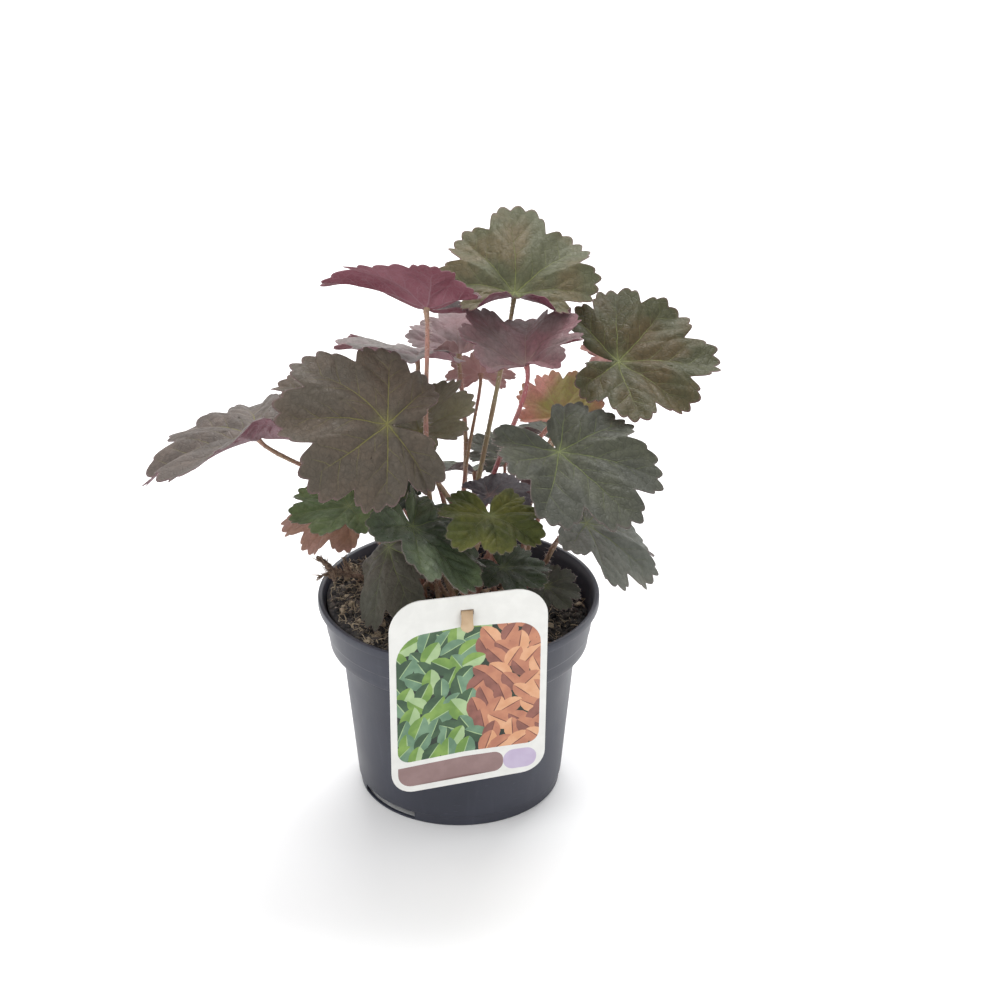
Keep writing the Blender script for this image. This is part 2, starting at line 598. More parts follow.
def add_blade(piece, plan, axes):
    """The blade's two faces and rounded margin.

    Returns the ring that the stalk grows from, and the margin's places, upward and outward directions.
    """
    across, along, share, rings = blade_grid(plan)
    middle = blade_point(plan, axes, across, along)
    out = blade_normals(plan, axes, across, along)
    half = (BLADE_MIDDLE + (BLADE_MARGIN - BLADE_MIDDLE) * share) / 2
    flat = np.column_stack([across / plan.length, along / plan.length, share, np.ones(len(share))])
    under = flat * (1, 1, 1, 0)
    upper = piece.add_points(list(middle + out * half[:, None]), flat.tolist())[0]
    lower = piece.add_points(list(middle - out * half[:, None]), under.tolist())[0]
    for inner, outer in zip(rings, rings[1:]):
        for face in stitch(inner, outer):
            piece.add_faces([tuple(corner + upper for corner in face),
                             tuple(corner + lower for corner in reversed(face))])
    last = rings[-1]
    outward = middle[last] - middle[rings[-2]]
    outward /= np.linalg.norm(outward, axis=1)[:, None]
    rim = piece.add_points(list(middle[last] + outward * RIM_BULGE), (flat[last] * (1, 1, 1, 0.5)).tolist())
    above = [number + upper for number in last]
    below = [number + lower for number in last]
    piece.add_faces([tuple(reversed(face)) for face in stitch(rim, above)])
    piece.add_faces([tuple(reversed(face)) for face in stitch(below, rim)])
    heart = blade_point(plan, axes, np.zeros(1), np.zeros(1))[0] + axes[2] * BLADE_MIDDLE / 2
    centre = piece.add_points([heart], [(0, 0, 0, 1)])[0]
    first = [number + upper for number in rings[0]]
    piece.add_faces([(centre, b, a) for a, b in zip(first, first[1:] + first[:1])])
    return [number + lower for number in rings[0]], middle[last], out[last], outward


def distances(route):
    """How far each point of a route lies from its start."""
    lengths = [0.0]
    for a, b in zip(route, route[1:]):
        lengths.append(lengths[-1] + (b - a).length)
    return lengths


def join_rings(piece, rings, kind, last=None):
    """A closed tube through rings of points, going on from a last ring of point numbers if one is given."""
    for ring in rings:
        numbers = piece.add_points(ring)
        piece.add_faces(stitch(last, numbers) if last else [tuple(reversed(numbers))], kind)
        last = numbers
    piece.add_faces([tuple(last)], kind)


def add_stalk(piece, plan, axes, neck):
    """The stalk, from the ring in the blade's lower face down into the soil. Returns its route and radii."""
    route = stalk_route(plan, axes)
    thin, thick = stalk_radii(plan)
    lengths = distances(route)
    radii = []
    for length in lengths:
        share = length / lengths[-1]
        wobble = 1 + 0.05 * math.sin(length * 0.35 + plan.seed)
        flare = 0.35 * math.exp(-length / 1.5)
        radii.append((thin + (thick - thin) * share ** 1.5) * wobble * 0.92 + flare)
    first = Vector(piece.points[neck[0]]) - route[0]
    join_rings(piece, tube_rings(route, radii, first, len(neck)), STALK_KIND, neck)
    return route, radii


def add_hairs(piece, plan, route, radii, edge, draw):
    """Fine hairs along the stalk and round the blade's margin."""
    for _ in range(int(distances(route)[-1] * OWN_HAIRS.get(plan.seed, STALK_HAIRS))):
        where = draw.uniform(0.01, 0.93) * (len(route) - 3)
        step = int(where)
        ahead = (route[step + 1] - route[step]).normalized()
        side = ahead.orthogonal().normalized()
        angle = draw.uniform(0, math.tau)
        away = side * math.cos(angle) + ahead.cross(side) * math.sin(angle)
        root = route[step].lerp(route[step + 1], where - step) + away * radii[step] * 0.8
        way = (away + ahead * draw.uniform(-0.35, 0.5) + Vector((0, 0, -0.15))).normalized()
        add_hair(piece, root, way, draw.uniform(1.2, 3.2), STALK_HAIR_RADIUS)
    for place, out, away in list(zip(*edge))[::2]:
        way = Vector(away) + Vector(out) * draw.uniform(-0.5, 0.5)
        add_hair(piece, Vector(place), way.normalized(), draw.uniform(0.5, 1.1), MARGIN_HAIR_RADIUS)


def make_leaf(number, plan):
    """One leaf: blade, stalk and hairs."""
    axes = leaf_axes(plan)
    piece = Piece()
    neck, *edge = add_blade(piece, plan, axes)
    route, radii = add_stalk(piece, plan, axes, neck)
    add_hairs(piece, plan, route, radii, edge, random.Random(number))
    name = "leaf_%02d" % number
    item = piece.make("fine_" + name, [blade_material(name, plan), stalk_material(name, plan), HAIR])
    settle(item, name)


def linear(colour, share=1.0, more=0.0):
    """A daylight colour of 0 to 255, times a share and raised, as the linear values that shaders use."""
    parts = [min(255, part * share + more) / 255 for part in colour]
    return tuple(part / 12.92 if part < 0.0405 else ((part + 0.055) / 1.055) ** 2.4 for part in parts) + (1,)


class Nodes:
    """Short ways to add shader nodes to one tree. All but add and give hand back sockets."""

    def __init__(self, tree):
        self.tree = tree

    def give(self, node, inputs):
        """Sets a node's inputs, or links them where they are sockets."""
        for key, value in dict(inputs).items():
            if isinstance(value, bpy.types.NodeSocket):
                self.tree.links.new(value, node.inputs[key])
            else:
                node.inputs[key].default_value = value

    def add(self, kind, inputs=(), **settings):
        """A node with its settings and inputs."""
        made = self.tree.nodes.new("ShaderNode" + kind)
        for key, value in settings.items():
            setattr(made, key, value)
        self.give(made, inputs)
        return made

    def maths(self, operation, *values):
        """The result of a sum on numbers or sockets."""
        return self.add("Math", dict(enumerate(values)), operation=operation).outputs[0]

    def times(self, a, b):
        return self.maths("MULTIPLY", a, b)

    def plus(self, a, b):
        return self.maths("ADD", a, b)

    def minus(self, a, b):
        return self.maths("SUBTRACT", a, b)

    def size(self, value):
        return self.maths("ABSOLUTE", value)

    def shifted(self, operation, vector, other):
        """The result of a sum on vectors."""
        return self.add("VectorMath", {0: vector, 1: other}, operation=operation).outputs[0]

    def parts(self, vector):
        """The three parts of a vector."""
        return self.add("SeparateXYZ", {0: vector}).outputs

    def ramp(self, value, low, high, start=0.0, end=1.0):
        """A value that goes smoothly from start to end as another goes from low to high."""
        limits = {0: value, 1: low, 2: high, 3: start, 4: end}
        return self.add("MapRange", limits, interpolation_type="SMOOTHSTEP").outputs[0]

    def mix(self, share, a, b):
        """Two colours mixed by a share."""
        return self.add("Mix", {0: share, 6: a, 7: b}, data_type="RGBA").outputs[2]

    def mottled(self, value, low, high, colour, other):
        """Two colours given as 0 to 255, mixed as a value goes from low to high."""
        return self.mix(self.ramp(value, low, high), linear(colour), linear(other))

    def place(self, stretch=None):
        """The point's place on the object in metres, stretched if asked."""
        place = self.add("TexCoord").outputs["Object"]
        return self.add("Mapping", {0: place, 3: stretch}).outputs[0] if stretch else place

    def noise(self, vector, scale, detail=3.0, rough=0.5):
        """A noise value about a point."""
        inputs = {"Vector": vector, "Scale": scale, "Detail": detail, "Roughness": rough}
        return self.add("TexNoise", inputs).outputs["Fac"]

    def cells(self, vector, scale, width):
        """Lines between cells that are strewn over the plane."""
        inputs = {"Vector": vector, "Scale": scale}
        edge = self.add("TexVoronoi", inputs, feature="DISTANCE_TO_EDGE").outputs[0]
        return self.ramp(edge, 0.01, width, 1.0, 0.0)

    def bump(self, height, strength, distance):
        """The shading direction on a surface with a height."""
        return self.add("Bump", {"Strength": strength, "Distance": distance, "Height": height}).outputs[0]


def new_material(name):
    """An empty material, its nodes and its principled shader."""
    made = bpy.data.materials.new(name)
    made.use_nodes = True
    return made, Nodes(made.node_tree), made.node_tree.nodes["Principled BSDF"]


def stirred_place(nodes, x, y, seed):
    """The place on the flat blade, moved a little by noise that differs from leaf to leaf."""
    plane = nodes.add("CombineXYZ", {0: x, 1: y, 2: nodes.times(seed, 3.7)}).outputs[0]
    stir = nodes.add("TexNoise", {"Vector": plane, "Scale": 7.0, "Detail": 2.0}).outputs["Color"]
    stir = nodes.shifted("SUBTRACT", stir, (0.5, 0.5, 0.5))
    stir = nodes.add("VectorMath", {0: stir, "Scale": VEIN_STIR}, operation="SCALE").outputs[0]
    return nodes.shifted("ADD", plane, stir)


def side_veins(nodes, local, nearest, away, out):
    """Strength of the branches that leave a lobe's main vein on both sides in turn."""
    along = nodes.minus(out, nodes.times(away, SIDE_VEIN_SLOPE))
    phase = nodes.maths("DIVIDE", along, SIDE_VEIN_SPACING)
    shift = nodes.times(nodes.maths("GREATER_THAN", local, 0.0), SIDE_VEIN_SHIFT)
    phase = nodes.plus(nodes.plus(phase, shift), nodes.times(nearest, LOBE_SHIFT))
    offset = nodes.size(nodes.minus(nodes.maths("FRACT", phase), 0.5))
    distance = nodes.times(offset, SIDE_VEIN_SPACING * SIDE_VEIN_LEAN)
    return nodes.ramp(distance, SIDE_VEIN_WIDTH * 0.25, SIDE_VEIN_WIDTH, 1.0, 0.0)


def vein_group():
    """A node group that draws the veins from a point's place on the flat blade."""
    tree = bpy.data.node_groups.new("veins", "ShaderNodeTree")
    nodes = Nodes(tree)
    tree.interface.new_socket("Flat", in_out="INPUT", socket_type="NodeSocketVector")
    tree.interface.new_socket("Seed", in_out="INPUT", socket_type="NodeSocketFloat")
    for name in ("Main", "Side", "Net"):
        tree.interface.new_socket(name, in_out="OUTPUT", socket_type="NodeSocketFloat")
    flat, seed = list(tree.nodes.new("NodeGroupInput").outputs)[:2]
    x, y, share = nodes.parts(flat)
    moved = stirred_place(nodes, x, y, seed)
    x, y, _ = nodes.parts(moved)
    reach = nodes.maths("SQRT", nodes.plus(nodes.times(x, x), nodes.times(y, y)))
    turn = nodes.maths("ARCTAN2", x, y)
    sway = nodes.maths("SINE", nodes.plus(nodes.times(turn, 3.0), seed))
    turn = nodes.plus(turn, nodes.times(nodes.times(sway, reach), VEIN_SWAY))
    lobe = math.radians(LOBE_TURN)
    nearest = nodes.times(nodes.maths("ROUND", nodes.maths("DIVIDE", turn, lobe)), lobe)
    local = nodes.minus(turn, nearest)
    away = nodes.size(nodes.times(reach, nodes.maths("SINE", local)))
    out = nodes.times(reach, nodes.maths("COSINE", local))

    width = nodes.times(nodes.minus(1.25, reach), VEIN_WIDTH)
    main = nodes.ramp(away, nodes.times(width, 0.25), width, 1.0, 0.0)
    stop, end = (math.radians(angle) for angle in VEIN_STOP)
    closed = nodes.ramp(nodes.size(turn), stop, end, 1.0, 0.0)
    main = nodes.times(main, nodes.times(nodes.ramp(share, 0.25, 1.0, 1.0, 0.0), closed))

    side = side_veins(nodes, local, nearest, away, out)
    near = nodes.times(nodes.ramp(away, 0.02, 0.2, 1.0, 0.15), nodes.ramp(reach, 0.12, 0.26))
    side = nodes.times(side, nodes.times(near, nodes.ramp(share, 0.7, 1.0, 1.0, 0.0)))
    fine = nodes.times(nodes.cells(moved, 44.0, 0.12), 0.5)
    net = nodes.maths("MAXIMUM", nodes.cells(moved, 15.0, 0.09), fine)
    nodes.give(tree.nodes.new("NodeGroupOutput"), {0: main, 1: side, 2: net})
    return tree


def leaf_colours(plan):
    """The leaf's colours: upper side, its patches, lower side, veins."""
    own = OWN_COLOURS.get(plan.seed, {})
    keys = ("upper", "patch", "lower", "vein")
    return [own.get(key, colour) for key, colour in zip(keys, COLOURS[plan.tint])]


def upper_colour(nodes, plan, clouds, grain, veins, share):
    """The colour of the blade's upper side."""
    upper, patch, _, vein = leaf_colours(plan)
    main, branch, net = veins
    dark = linear(upper, 0.66)
    colour = nodes.mottled(clouds, 0.38, 0.66, upper, patch)
    colour = nodes.mix(nodes.ramp(grain, 0.35, 0.75, 0.0, 0.4), colour, linear(upper, 0.68))
    colour = nodes.mix(nodes.times(net, 0.26), colour, dark)
    colour = nodes.mix(nodes.times(branch, 0.32), colour, linear(vein))
    colour = nodes.mix(nodes.times(main, 0.8), colour, linear(vein))
    heart = nodes.ramp(share, 0.0, 0.2, 0.3, 0.0)
    return nodes.mix(heart, colour, linear(vein))


def lower_colour(nodes, plan, clouds, veins):
    """The colour of the blade's lower side, with paler veins."""
    lower = leaf_colours(plan)[2]
    pale = linear(lower, 0.55, 92)
    colour = nodes.mix(nodes.ramp(clouds, 0.35, 0.7), linear(lower, 0.84), linear(lower, 0.8, 34))
    for strength, socket in ((0.18, 2), (0.4, 1), (0.7, 0)):
        colour = nodes.mix(nodes.times(veins[socket], strength), colour, pale)
    return colour


def blade_material(name, plan):
    """A leaf blade: its two sides' colours, veins, puffed relief, soft shine and light coming through."""
    made, nodes, shader = new_material(name + "_blade")
    upper, _, lower, _ = leaf_colours(plan)
    flat = nodes.add("Attribute", attribute_name="flat").outputs["Vector"]
    side = nodes.add("Attribute", attribute_name="side").outputs["Fac"]
    veins = nodes.add("Group", {0: flat, 1: float(plan.seed)}, node_tree=VEINS).outputs
    share = nodes.parts(flat)[2]
    place = nodes.place()
    clouds = nodes.noise(place, 45.0)
    grain = nodes.noise(place, 420.0, 4.0, 0.6)
    top = upper_colour(nodes, plan, clouds, grain, veins, share)
    colour = nodes.mix(side, lower_colour(nodes, plan, clouds, veins), top)
    colour = nodes.mix(nodes.ramp(share, 0.965, 1.0, 0.0, 0.3), colour, linear(lower, 0.6, 70))
    rough, shine = GLOSSY if plan.tint == "dark" else MATT
    sunk = nodes.plus(nodes.times(veins[0], 0.9), nodes.times(veins[1], 0.55))
    sunk = nodes.plus(sunk, nodes.times(veins[2], 0.5))
    height = nodes.plus(nodes.times(sunk, nodes.ramp(side, 0.0, 1.0, 1.0, -1.0)), nodes.times(grain, 0.35))
    nodes.give(shader, {"Base Color": colour, "Roughness": nodes.ramp(grain, 0.3, 0.7, rough, rough + 0.18),
                        "Specular IOR Level": shine, "Normal": nodes.bump(height, 0.75, 0.0004)})
    glow = nodes.mix(0.45, colour, linear(upper, 1.5, 8))
    through = nodes.add("BsdfTranslucent", {"Color": glow}).outputs[0]
    both = nodes.add("MixShader", {0: SEE_THROUGH, 1: shader.outputs[0], 2: through}).outputs[0]
    nodes.give(nodes.tree.nodes["Material Output"], {0: both})
    return made


def stalk_material(name, plan):
    """A stalk: green to reddish along its length, ribbed and softly shining."""
    made, nodes, shader = new_material(name + "_stalk")
    red, green = STALK_COLOURS.get(plan.seed, PLAIN_STALK)
    streaks = nodes.noise(nodes.place((1.0, 1.0, 0.12)), 900.0)
    colour = nodes.mottled(nodes.noise(nodes.place(), 60.0, 2.0), 0.35, 0.65, red, green)
    colour = nodes.mix(nodes.ramp(streaks, 0.4, 0.7, 0.0, 0.5), colour, linear(red, 0.7))
    nodes.give(shader, {"Base Color": colour, "Roughness": 0.48, "Subsurface Weight": 0.12,
                        "Subsurface Radius": (0.002, 0.001, 0.0006),
                        "Normal": nodes.bump(streaks, 0.5, 0.0003)})
    return made


def hair_material():
    """Pale, slightly pink hairs."""
    made, nodes, shader = new_material("leaf_hair")
    tint = nodes.noise(nodes.place(), 300.0, 1.0)
    colour = nodes.mix(tint, linear((236, 226, 218)), linear((222, 192, 186)))
    nodes.give(shader, {"Base Color": colour, "Roughness": 0.5})
    return made


def pot_material():
    """Dark blue-grey moulded plastic with faint scuffs, soil dust and flow marks."""
    made, nodes, shader = new_material("pot_plastic_fine")
    clouds = nodes.noise(nodes.place(), 22.0, 4.0)
    grain = nodes.noise(nodes.place(), 900.0)
    flow = nodes.noise(nodes.place((1.0, 1.0, 0.08)), 260.0)
    scuffs = nodes.noise(nodes.place((0.15, 0.15, 1.0)), 900.0, 4.0, 0.6)
    colour = nodes.mottled(clouds, 0.35, 0.7, (52, 54, 64), (60, 62, 73))
    colour = nodes.mix(nodes.ramp(flow, 0.5, 0.8, 0.0, 0.25), colour, linear((78, 80, 90)))
    colour = nodes.mix(nodes.ramp(scuffs, 0.64, 0.78, 0.0, 0.5), colour, linear((104, 106, 116)))
    rough = nodes.plus(nodes.ramp(clouds, 0.3, 0.7, 0.36, 0.5), nodes.ramp(scuffs, 0.6, 0.8, 0.0, 0.15))
    height = nodes.plus(nodes.times(grain, 0.5), nodes.times(flow, 0.5))
    nodes.give(shader, {"Base Color": colour, "Roughness": rough, "Specular IOR Level": 0.36,
                        "Normal": nodes.bump(height, 0.25, 0.0002)})
    return made


def earth_material(name, dark, pale, scale):
    """A rough, crumbly material between two colours."""
    made, nodes, shader = new_material(name)
    clouds = nodes.noise(nodes.place(), scale, 5.0, 0.65)
    grain = nodes.noise(nodes.place(), scale * 5, 4.0, 0.7)
    share = nodes.times(nodes.ramp(clouds, 0.35, 0.7), nodes.ramp(grain, 0.3, 0.7))
    height = nodes.plus(clouds, nodes.times(grain, 0.5))
    nodes.give(shader, {"Base Color": nodes.mix(share, linear(dark), linear(pale)), "Roughness": 0.9,
                        "Specular IOR Level": 0.25, "Normal": nodes.bump(height, 0.9, 0.0006)})
    return made


def print_material(name, colour, other):
    """A printed colour on coated card, softly uneven."""
    made, nodes, shader = new_material(name)
    tone = nodes.mottled(nodes.noise(nodes.place(), 160.0), 0.35, 0.7, colour, other)
    fibres = nodes.noise(nodes.place(), 1500.0, 2.0)
    nodes.give(shader, {"Base Color": tone, "Roughness": nodes.ramp(fibres, 0.3, 0.7, 0.34, 0.46),
                        "Normal": nodes.bump(fibres, 0.12, 0.0001)})
    return made


def stake_material():
    """Tan plastic that lets a little light in."""
    made, nodes, shader = new_material("tan_plastic_fine")
    tone = nodes.mottled(nodes.noise(nodes.place(), 120.0), 0.3, 0.7, (176, 148, 116), (196, 170, 138))
    rough = nodes.ramp(nodes.noise(nodes.place(), 700.0), 0.3, 0.7, 0.32, 0.5)
    nodes.give(shader, {"Base Color": tone, "Roughness": rough, "Subsurface Weight": 0.1,
                        "Subsurface Radius": (0.002, 0.0015, 0.001)})
    return made


def baked(item, name):
    """The object with its modifiers turned into plain mesh."""
    graph = bpy.context.evaluated_depsgraph_get()
    mesh = bpy.data.meshes.new_from_object(item.evaluated_get(graph))
    mesh.name = name
    made = bpy.data.objects.new(name, mesh)
    bpy.context.scene.collection.objects.link(made)
    bpy.data.objects.remove(item)
    made.name = name
    return made


def smooth_by_angle(item, angle):
    """Shades an object smooth, with sharp edges where faces meet at more than an angle."""
    item.data.shade_smooth()
    item.data.set_sharp_from_angle(angle=math.radians(angle))


def level_point(angle, radius, height=0.0):
    """A point at an angle and a distance from the pot's axis."""
    return Vector((math.cos(angle) * radius, math.sin(angle) * radius, height))


def make_pot():
    """The pot, turned from its profile, with the foot windows and drain holes cut."""
    profile = ((0.0, POT_FLOOR),) + POT_INNER + POT_OUTER + POT_UNDERSIDE
    mesh = bpy.data.meshes.new("fine_pot")
    mesh.from_pydata([(radius * MM, 0, height * MM) for radius, height in profile],
                     [(step, step + 1) for step in range(len(profile) - 1)], [])
    pot = bpy.data.objects.new("fine_pot", mesh)
    bpy.context.scene.collection.objects.link(pot)
    screw = pot.modifiers.new("Turn", "SCREW")
    screw.steps = screw.render_steps = POT_TURNS
    screw.use_merge_vertices = True
    screw.merge_threshold = 0.00001
    screw.use_normal_calculate = True
    tools = []
    for turn in WINDOW_TURNS:
        angle = math.radians(turn)
        place = level_point(angle, *WINDOW_MIDDLE) * MM
        bpy.ops.mesh.primitive_cube_add(size=1, rotation=(0, 0, angle), location=place)
        bpy.context.object.scale = Vector(WINDOW_SIZE) * MM
        tools.append(bpy.context.object)
    for number in range(DRAIN_HOLES):
        place = level_point(math.tau * (number + DRAIN_TURN) / DRAIN_HOLES, DRAIN_CIRCLE, DRAIN_MIDDLE) * MM
        bpy.ops.mesh.primitive_cylinder_add(vertices=24, radius=DRAIN_RADIUS * MM, depth=DRAIN_DEPTH * MM,
                                            location=place)
        tools.append(bpy.context.object)
    for tool in tools:
        boolean = pot.modifiers.new("Cut", "BOOLEAN")
        boolean.operation = "DIFFERENCE"
        boolean.object = tool
    pot = baked(pot, "fine_pot")
    for tool in tools:
        bpy.data.objects.remove(tool)
    pot.data.materials.clear()
    pot.data.materials.append(pot_material())
    smooth_by_angle(pot, 35)
    settle(pot, "pot")


def wall_radius(height):
    """The radius of the pot's inner side at a height."""
    for (low_radius, low), (high_radius, high) in zip(POT_INNER, POT_INNER[1:]):
        if height <= high:
            return low_radius + (high_radius - low_radius) * (height - low) / (high - low)
    return POT_INNER[-1][0]


def rough_soil(x, y, reach):
    """Height of the crumbly soil, with its lumps fading towards the pot's wall."""
    spot = Vector((x, y, 0))
    lumps = 1.3 * noise.noise(spot * 0.22) + 0.9 * noise.noise(spot * 0.55 + Vector((9, 0, 0)))
    lumps += 0.6 * abs(noise.noise(spot * 1.2)) + 0.35 * noise.noise(spot * 2.6)
    return soil_height(x, y) + lumps - 0.6 - 1.5 * max(0.0, reach - 0.93) / 0.07


def soil_spot(angle, reach):
    """A spot on the soil, at a share of the way to the pot's wall."""
    rim = level_point(angle, RIM_RADIUS)
    limit = wall_radius(min(soil_height(rim.x, rim.y) - 1, SOIL_LIMIT)) - GAP
    spot = level_point(angle, limit * reach)
    spot.z = rough_soil(spot.x, spot.y, reach)
    return spot


def random_spot(draw):
    """A random spot on the soil."""
    angle = draw.uniform(0, math.tau)
    return soil_spot(angle, 0.97 * math.sqrt(draw.random()))


def make_soil():
    """The soil's crumbly top, its sides along the pot, and the crumbs and fibres on it."""
    piece = Piece()
    angles = [math.tau * step / SOIL_TURNS for step in range(SOIL_TURNS)]
    rings = []
    for ring in range(SOIL_RINGS + 1):
        reach = max(ring, 0.4) / SOIL_RINGS
        rings.append(piece.add_points([soil_spot(angle, reach) for angle in angles]))
    for radius, height in SOIL_SIDE:
        rings.append(piece.add_points([level_point(angle, radius, height) for angle in angles]))
    for inner, outer in zip(rings, rings[1:]):
        piece.add_faces([tuple(reversed(face)) for face in stitch(inner, outer)])
    piece.add_faces([tuple(rings[0]), tuple(reversed(rings[-1]))])
    add_crumbs(piece)
    add_fibres(piece)
    materials = [earth_material(*earth) for earth in SOIL_COLOURS]
    settle(piece.make("fine_soil", materials), "soil")


def add_crumbs(piece):
    """Crumbs of peat, bark and pale specks, each a small uneven lump with twenty faces."""
    draw = random.Random(21)
    gold = (1 + 5 ** 0.5) / 2
    corners = [(-1, gold, 0), (1, gold, 0), (-1, -gold, 0), (1, -gold, 0), (0, -1, gold), (0, 1, gold),
               (0, -1, -gold), (0, 1, -gold), (gold, 0, -1), (gold, 0, 1), (-gold, 0, -1), (-gold, 0, 1)]
    corners = [Vector(corner).normalized() for corner in corners]
    faces = ((0, 11, 5), (0, 5, 1), (0, 1, 7), (0, 7, 10), (0, 10, 11), (1, 5, 9), (5, 11, 4),
             (11, 10, 2), (10, 7, 6), (7, 1, 8), (3, 9, 4), (3, 4, 2), (3, 2, 6), (3, 6, 8), (3, 8, 9),
             (4, 9, 5), (2, 4, 11), (6, 2, 10), (8, 6, 7), (9, 8, 1))
    for _ in range(CRUMBS):
        middle = random_spot(draw)
        size = draw.uniform(0.35, 1.0) ** 2 * 1.7 + 0.25
        stretch = Vector((draw.uniform(0.6, 1.5), draw.uniform(0.6, 1.3), draw.uniform(0.5, 0.9)))
        angle = draw.uniform(0, math.tau)
        turn = Matrix.Rotation(angle, 3, Vector((draw.gauss(0, 1), draw.gauss(0, 1), 1)).normalized())
        kind = draw.choices((PEAT, CRUMB, FIBRE, SPECK), CRUMB_SHARES)[0]
        if kind == SPECK:
            size = min(size, 1.0)
        middle.z += size * 0.25
        points = [turn @ (corner * stretch * size * draw.uniform(0.75, 1.2)) + middle for corner in corners]
        piece.add_shape(points, faces, kind)


def add_tube(piece, route, radii, sides, kind):
    """A closed tube along a route."""
    join_rings(piece, tube_rings(route, radii, (route[1] - route[0]).orthogonal(), sides), kind)


def add_fibres(piece):
    """Fine roots and bark fibres that lie on the soil, thickest on the heap at the left."""
    draw = random.Random(8)
    for number in range(FIBRES):
        x, y, z = random_spot(draw)
        if number % 3 and x > FIBRE_HEAP:
            continue
        heading = draw.uniform(0, math.tau)
        curl = draw.uniform(-0.5, 0.5)
        length = draw.uniform(3, 11)
        route = []
        for step in range(6):
            lift = 0.2 + 0.25 * math.sin(step * 1.3 + number) + draw.uniform(0, 0.3)
            route.append(Vector((x, y, z + lift)))
            heading += curl + draw.uniform(-0.3, 0.3)
            x += math.cos(heading) * length / 5
            y += math.sin(heading) * length / 5
            if math.hypot(x, y) > FIBRE_LIMIT:
                x, y = x * 0.97, y * 0.97
            z = max(z + draw.uniform(-0.4, 0.9), rough_soil(x, y, 0.9))
        thick = draw.choice((0.1, 0.13, 0.17, 0.28))
        radii = [thick * share for share in (1, 1, 1, 0.9, 0.8, 0.5)]
        add_tube(piece, route, radii, 4, CRUMB if number % 4 == 0 else FIBRE)


def smooth_route(points, radii, steps):
    """A finer route through given points, with its radii."""
    route, sizes = [], []
    count = len(points)
    for number in range(count - 1):
        a, b, c, d = (Vector(points[min(max(number + step, 0), count - 1)]) for step in (-1, 0, 1, 2))
        for step in range(steps):
            t = step / steps
            bow = (a * 2 - b * 5 + c * 4 - d) * t * t + (b * 3 - a - c * 3 + d) * t ** 3
            route.append((b * 2 + (c - a) * t + bow) / 2)
            sizes.append(radii[number] + (radii[number + 1] - radii[number]) * t)
    return route + [Vector(points[-1])], sizes + [radii[-1]]


def add_peelings(piece, route, sizes, draw):
    """Curled strips of loose skin on a dead stem."""
    for _ in range(len(route) * 2):
        step = draw.randrange(2, len(route) - 1)
        ahead = (route[step] - route[step - 1]).normalized()
        away = ahead.orthogonal().normalized()
        away.rotate(Matrix.Rotation(draw.uniform(0, math.tau), 3, ahead))
        root = route[step] + away * sizes[step] * 0.8
        reach = draw.choice((1.0, 1.0, 1.6, 2.6))
        bend = root + away * 0.5 * reach + ahead * 0.7
        tip = root + (away * 0.9 + ahead * draw.uniform(1.2, 2.2) + Vector((0, 0, 0.3))) * reach
        add_tube(piece, [root, bend, tip], [0.24, 0.18, 0.06], 4, SKIN)


def make_dead_stems():
    """The old stems at the left rim, knotted, with peeling skin."""
    piece = Piece()
    draw = random.Random(5)
    for points, radii in DEAD_STEMS:
        route, sizes = smooth_route(points, radii, 7)
        sizes = [size * (1 + 0.16 * noise.noise(spot * 0.9) + draw.uniform(-0.06, 0.06))
                 for size, spot in zip(sizes, route)]
        add_tube(piece, route, sizes, 12, STEM)
        add_peelings(piece, route, sizes, draw)
    materials = [earth_material(*earth) for earth in STEM_COLOURS]
    settle(piece.make("fine_dead_stems", materials), "dead_stems")


def card_point(across, up):
    """Where a point of the flat card lies: hung by its fold, each side turned back by its own angle."""
    share = up / CARD_HEIGHT
    right = CARD_RIGHT_YAW_BOTTOM + (CARD_RIGHT_YAW_TOP - CARD_RIGHT_YAW_BOTTOM) * share
    blend = max(0.0, min(1.0, (across + 6) / 12))
    blend = blend * blend * (3 - 2 * blend)
    yaw = math.radians(CARD_LEFT_YAW + (right - CARD_LEFT_YAW) * blend)
    lean = math.tan(math.radians(CARD_LEAN)) * up
    x, y = CARD_FOLD
    return Vector((x + across * math.cos(yaw), y + across * math.sin(yaw) - lean, CARD_BOTTOM + up))


def inside(point, ring):
    """Whether a flat point lies inside a ring of any shape."""
    x, y = point
    found = False
    for step, (ax, ay) in enumerate(ring):
        bx, by = ring[(step + 1) % len(ring)]
        if (ay > y) != (by > y) and x < (bx - ax) * (y - ay) / (by - ay) + ax:
            found = not found
    return found


def corner_arc(x, y, radius, start, steps=9):
    """A quarter circle of points about x, y."""
    angles = [math.radians(start + 90 * step / (steps - 1)) for step in range(steps)]
    return [(x + radius * math.cos(angle), y + radius * math.sin(angle)) for angle in angles]


def rounded(*corners):
    """A flat outline with round corners, each given as its centre, radius and starting angle."""
    return [point for corner in corners for point in corner_arc(*corner)]


def oval(x, y, length, width, turn):
    """The outline of a pointed oval leaf."""
    cos, sin = math.cos(math.radians(turn)), math.sin(math.radians(turn))
    ring = []
    for step in range(14):
        share = math.tau * step / 14
        u = math.cos(share) * length / 2
        v = math.sin(share) * abs(math.sin(share)) ** 0.4 * width / 2
        ring.append((x + u * cos - v * sin, y + u * sin + v * cos))
    return ring


